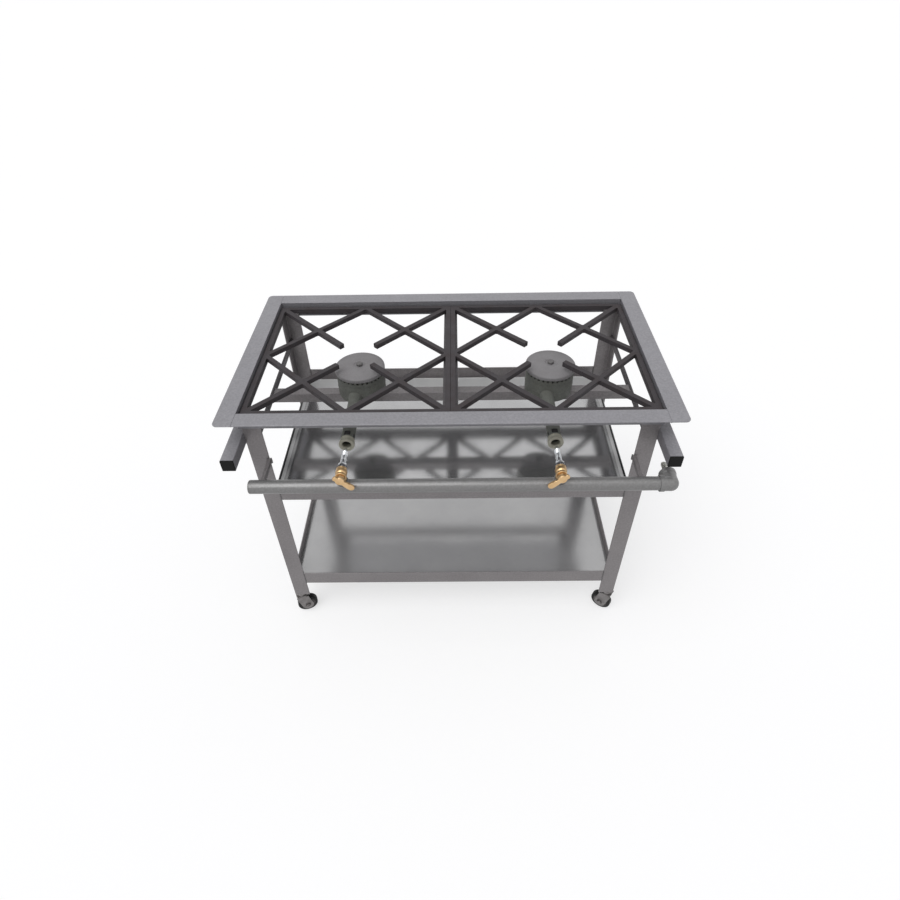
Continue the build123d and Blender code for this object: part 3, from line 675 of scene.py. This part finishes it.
elbow_x = elbow_high.x - ELBOW_CAD_RADIUS * MM
inlet_run = (elbow_x - elbow_low.x) / MM
outlet_run = (elbow_high.y - pipe_axis.y) / MM
elbow_collar = [(0, 1.5), (13.4, 1.5), (13.4, 0), (15.2, 0), (ELBOW_COLLAR_RADIUS, 0.9),
                (ELBOW_COLLAR_RADIUS, 7.8), (15.6, 9.4), (ELBOW_ARM_RADIUS, 10.6)]
inlet_arm = turned(elbow_collar + [(ELBOW_ARM_RADIUS, inlet_run), (0, inlet_run)],
                   along_x(elbow_low.x, pipe_axis.y, pipe_axis.z), 48)
outlet = Matrix.Translation((elbow_x, elbow_high.y, pipe_axis.z)) @ Matrix.Rotation(pi / 2, 4, "X")
outlet_arm = turned(elbow_collar + [(ELBOW_ARM_RADIUS, outlet_run), (0, outlet_run)], outlet, 48)
ball = [(ELBOW_ARM_RADIUS * sin(pi * step / 16), -ELBOW_ARM_RADIUS * cos(pi * step / 16))
        for step in range(17)]
elbow_corner = turned(ball, upright(elbow_x, pipe_axis.y, pipe_axis.z), 48)
finish_piece("inlet_elbow_casting", gather(inlet_arm, outlet_arm, elbow_corner), [pipe_enamel],
             "stand", ["inlet_elbow"])

reach = (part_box("hose_spigot")[1].y - elbow_high.y) / MM
hose_end = turned([(3.5, reach), (4.6, reach), (6.0, reach - 3), (5.2, reach - 3.2),
                   (5.2, reach - 4.6), (6.0, reach - 7), (5.2, reach - 7.2), (5.2, reach - 8.6),
                   (6.0, reach - 11), (5.2, reach - 11.2), (5.2, 6), (3.5, 6)],
                  along_y(elbow_x, elbow_high.y, pipe_axis.z), 32, ring=True)
flats = hexagon(19, 5.8, along_y(elbow_x, elbow_high.y, pipe_axis.z), 0.8)
finish_piece("hose_spigot_turned", gather(hose_end, flats), [zinc_bolt], "stand", ["hose_spigot"])


# ---- Valves, handles and jets --------------------------------------------------------------
def wing(span, height, thickness, hub, place):
    """A flat wing handle along the place's X axis, waisted at its hub, with soft edges.
    Millimetres."""
    bm = bmesh.new()
    bmesh.ops.create_cube(bm, size=1.0)
    bmesh.ops.scale(bm, vec=Vector((span, thickness, height)) * MM, verts=bm.verts)
    standing = [e for e in bm.edges
                if abs(e.verts[0].co.y - e.verts[1].co.y) > 0.5 * thickness * MM]
    bmesh.ops.bevel(bm, geom=standing, offset=0.47 * height * MM, segments=6, profile=0.5,
                    affect="EDGES", material=-1)
    runs = [e for e in bm.edges if abs(e.verts[0].co.x - e.verts[1].co.x) > 0.5 * span * MM]
    bmesh.ops.subdivide_edges(bm, edges=runs, cuts=11, use_grid_fill=True)
    for vertex in bm.verts:
        out = min(1.0, abs(vertex.co.x - hub * MM) / (0.34 * span * MM))
        vertex.co.z *= 0.62 + 0.38 * out ** 2
    rims = [e for e in bm.edges if e.is_manifold and e.calc_face_angle(0) > radians(60)]
    bmesh.ops.bevel(bm, geom=rims, offset=1.3 * MM, segments=3, profile=0.5, affect="EDGES",
                    material=-1, clamp_overlap=True)
    bmesh.ops.transform(bm, matrix=place, verts=bm.verts)
    return bm


for side, sign in zip(SIDES, (-1, 1)):
    jet_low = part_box(f"gas_jet_{side}")[0]
    handle_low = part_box(f"valve_handle_{side}")[0]
    x, z = middle_of(f"gas_jet_{side}").xz
    front = jet_low.y - 22 * MM
    barrel = turned([(0, 0), (9.6, 0), (10.4, 0.7), (10.4, 3.2), (9.4, 4.2), (9.2, 6), (10.2, 7.4),
                     (11, 9), (11, 15.5), (10.2, 17), (9.3, 17.6), (9.3, 22), (0, 22)],
                    along_y(x, front, z), 40)
    wrench = hexagon(18.6, 4.2, along_y(x, front + 17.6 * MM, z), 0.8)
    bonnet = hexagon(13.8, 3.8, along_y(x, front - 4 * MM, z), 0.8)
    spindle_run = (front - handle_low.y) / MM
    spindle = turned([(0, 0.1), (3.2, 0.1), (3.9, 0.7), (3.9, spindle_run), (0, spindle_run)],
                     along_y(x, handle_low.y, z), 24)
    rise = (z - pipe_axis.z) / MM
    neck = turned([(0, 0), (7.9, 0), (7.9, rise - 15.5), (8.8, rise - 15), (8.8, rise - 12.2),
                   (7.6, rise - 11.4), (6.9, rise - 9), (7.4, rise - 4), (7.4, rise), (0, rise)],
                  upright(x, pipe_axis.y, pipe_axis.z), 36)
    boss = coated(turned([(8.1, 6), (10.6, 6), (10.6, 17.4), (10.1, 18), (8.1, 18)],
                         upright(x, pipe_axis.y, pipe_axis.z), 36, ring=True), 1)
    seam = coated(around(Vector((x, pipe_axis.y, pipe_axis.z)), 10.8, 13.3), 1)
    valve = gather(barrel, wrench, bonnet, spindle, neck, boss, seam)
    finish_piece(f"gas_valve_{side}_turned", valve, [brass, pipe_enamel], "stand",
                 [f"gas_valve_{side}"])

    tilt = Matrix.Rotation(radians(-sign * 40), 4, "Y")
    centre = Matrix.Translation((x, handle_low.y, z)) @ tilt
    lever = wing(46, 13, 5, sign * 8, centre @ Matrix.Translation((-sign * 8 * MM, 2.5 * MM, 0)))
    hub = turned([(4.15, 0.4), (6.2, 0.4), (8.2, 1.0), (8.9, 2.2), (8.9, 6.6), (8.3, 7.6), (7.2, 8),
                  (4.15, 8)],
                 centre @ Matrix.Rotation(-pi / 2, 4, "X"), 36, ring=True)
    finish_piece(f"valve_handle_{side}_cast", gather(lever, hub), [brass], f"valve_handle_{side}",
                 [f"valve_handle_{side}"])

    hexed = hexagon(16, 11.6, along_y(x, jet_low.y + 0.2 * MM, z), 1.0)
    stem = turned([(0, 11.6), (7.4, 11.6), (7.6, 12.4), (7.4, 13.2), (6, 13.8), (6, 22),
                   (5.2, 22.6), (5.2, 24), (6, 24.6), (6, 34), (0, 34)],
                  along_y(x, jet_low.y, z), 32)
    ridges = [(0, 33.6), (5.2, 33.8)]
    for step in range(6):
        ridges += [(6.0 - 0.12 * step, 34.4 + 2.2 * step), (5.0 - 0.12 * step, 35.5 + 2.2 * step)]
    ridges += [(4.4, 48), (3.9, 50.5), (3.5, 55.4), (2.9, 56), (0.9, 56), (0.8, 54), (0, 54)]
    nozzle = turned(ridges, along_y(x, jet_low.y, z), 32)
    finish_piece(f"gas_jet_{side}_turned", gather(hexed, stem, nozzle), [chrome], "stand",
                 [f"gas_jet_{side}"])


# ---- Castors -------------------------------------------------------------------------------
mounts = joined_copy("castor_mounts")
finish_piece("castor_mounts_pressed", round_edges(mounts, outer_edges(mounts), 0.6, 2),
             [castor_steel], "stand", ["castor_mounts"])
for corner in CORNERS:
    fork = f"castor_fork_{corner}"
    wheel = f"castor_wheel_{corner}"
    axle = Vector(joints[f"wheel_turn_{corner}"]["pos_m"])
    across = Vector(joints[f"wheel_turn_{corner}"]["axis"]).normalized()
    aim = Matrix.Translation(axle) @ across.to_track_quat("Z", "X").to_matrix().to_4x4()
    pressed = joined_copy(fork)
    round_edges(pressed, hollow_edges(pressed), 1.4, 3)
    round_edges(pressed, outer_edges(pressed), 0.5, 2)
    head = hexagon(10, 4.4, aim @ Matrix.Translation((0, 0, 12.6 * MM)), 0.6)
    far_end = aim @ Matrix.Rotation(pi, 4, "X") @ Matrix.Translation((0, 0, 12.6 * MM))
    nut = hexagon(10, 4.4, far_end, 0.6)
    tail = turned([(0, 6.2), (2.4, 6.2), (3.0, 5.6), (3.0, 0), (0, 0)], far_end, 20)
    finish_piece(f"{fork}_pressed", gather(pressed, head, tail, nut), [castor_steel], fork, [fork])

    tread = turned([(18.3, -8.5), (21.5, -8.5), (23.2, -8.0), (24.5, -6.6), (WHEEL_RADIUS, -4.6),
                    (WHEEL_RADIUS, 4.6), (24.5, 6.6), (23.2, 8.0), (21.5, 8.5), (18.3, 8.5)],
                   aim, 56, ring=True)
    centre = coated(turned([(4.1, -8.5), (9.2, -8.5), (10, -7.9), (10.4, -6.2), (17.2, -6.0),
                            (18.0, -7.8), (18.3, -8.3), (18.3, 8.3), (18.0, 7.8), (17.2, 6.0),
                            (10.4, 6.2), (10, 7.9), (9.2, 8.5), (4.1, 8.5)],
                           aim, 48, ring=True), 1)
    finish_piece(f"{wheel}_moulded", gather(tread, centre), [tyre_plastic, wheel_plastic], wheel,
                 [wheel])


# ---- Drip tray and shelf -----------------------------------------------------------------
tray = joined_copy("drip_tray")
low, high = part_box("drip_tray")
shade_line = high.z - SHADED_BAND * MM
bmesh.ops.bisect_plane(tray, geom=tray.verts[:] + tray.edges[:] + tray.faces[:],
                       plane_co=(0, 0, shade_line), plane_no=(0, 0, 1))
# The inner side walls take the painted shade above that line; the other upright faces take the pale
# walls that paint a reflection
for face in tray.faces:
    centre = face.calc_center_median()
    inside = low.x + 0.5 * MM < centre.x < high.x - 0.5 * MM
    if abs(face.normal.x) > 0.9 and centre.z > shade_line and inside:
        face.material_index = 1
    elif abs(face.normal.z) < 0.1:
        face.material_index = 2
round_edges(tray, outer_edges(tray), 0.35, 2)
finish_piece("drip_tray_sheet", tray, [tray_zinc, rim_shade_zinc, wall_reflection_zinc], "drip_tray",
             ["drip_tray"])
shelf = joined_copy("lower_shelf")
finish_piece("lower_shelf_sheet", round_edges(shelf, outer_edges(shelf), 0.35, 2), [shelf_zinc],
             "stand", ["lower_shelf"])


# ---- Floor, light and camera ---------------------------------------------------------------
def see_white(tree):
    """1 for what the camera sees straight, or in or through a mirror, else 0."""
    path = add(tree, "ShaderNodeLightPath")
    seen = add(tree, "ShaderNodeMath",
               links={0: path.outputs["Is Camera Ray"], 1: path.outputs["Is Glossy Ray"]},
               operation="MAXIMUM")
    return add(tree, "ShaderNodeMath",
               links={0: seen.outputs[0], 1: path.outputs["Is Transmission Ray"]},
               operation="MAXIMUM").outputs[0]


floor_shape = bmesh.new()
bmesh.ops.create_grid(floor_shape, x_segments=2, y_segments=2, size=40.0)
floor_mesh = bpy.data.meshes.new("studio_floor")
floor_shape.to_mesh(floor_mesh)
floor_shape.free()
floor = bpy.data.objects.new("studio_floor", floor_mesh)
bpy.context.scene.collection.objects.link(floor)
floor_paper = bpy.data.materials.new("pale_studio_paper")
floor_paper.use_nodes = True
tree = floor_paper.node_tree
tree.nodes.clear()
matt = add(tree, "ShaderNodeBsdfDiffuse", {"Color": linear("#B4B4B4")})
glow_share = add(tree, "ShaderNodeMath", {1: 0.58}, {0: see_white(tree)}, operation="MULTIPLY")
glow = add(tree, "ShaderNodeEmission", {"Color": (1, 1, 1, 1)}, {"Strength": glow_share.outputs[0]})
both = add(tree, "ShaderNodeAddShader", links={0: matt.outputs[0], 1: glow.outputs[0]})
add(tree, "ShaderNodeOutputMaterial", links={"Surface": both.outputs[0]})
floor_mesh.materials.append(floor_paper)
floor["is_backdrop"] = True

scene = bpy.context.scene
world = bpy.data.worlds.new("soft_studio")
world.use_nodes = True
tree = world.node_tree
tree.nodes.clear()
dim = add(tree, "ShaderNodeBackground", {"Color": linear("#FBFBFF"), "Strength": 0.5})
white = add(tree, "ShaderNodeBackground", {"Color": (1, 1, 1, 1), "Strength": 1.0})
either = add(tree, "ShaderNodeMixShader",
             links={0: see_white(tree), 1: dim.outputs[0], 2: white.outputs[0]})
add(tree, "ShaderNodeOutputWorld", links={"Surface": either.outputs[0]})
scene.world = world

key = bpy.data.lights.new("soft_key", "SUN")
key.energy = 1.6
key.angle = radians(50)
key_object = bpy.data.objects.new("soft_key", key)
key_object.rotation_euler = Vector((-0.35, -0.45, 1.0)).to_track_quat("Z", "Y").to_euler()
scene.collection.objects.link(key_object)

camera = bpy.data.cameras.new("photo_camera")
camera.sensor_width = 36.0
camera.lens = 24.255
camera.clip_start = 0.05
camera.clip_end = 100.0
pitch, yaw, roll = radians(42.582), radians(0.902), radians(-1.167)
level = Matrix(((1, 0, 0), (0, sin(pitch), cos(pitch)), (0, cos(pitch), -sin(pitch))))
heading = Matrix(((cos(yaw), sin(yaw), 0), (-sin(yaw), cos(yaw), 0), (0, 0, 1)))
tilt = Matrix(((cos(roll), sin(roll), 0), (-sin(roll), cos(roll), 0), (0, 0, 1)))
aim = tilt @ level @ heading
turn = Matrix((aim[0], aim[1], -aim[2])).transposed().to_4x4()
camera_object = bpy.data.objects.new("photo_camera", camera)
camera_object.matrix_world = Matrix.Translation((0.011726, -1.050134, 1.373923)) @ turn
scene.collection.objects.link(camera_object)
scene.camera = camera_object
scene.view_settings.view_transform = "Standard"

# ---- Size of the dressed model -------------------------------------------------------------
low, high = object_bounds()
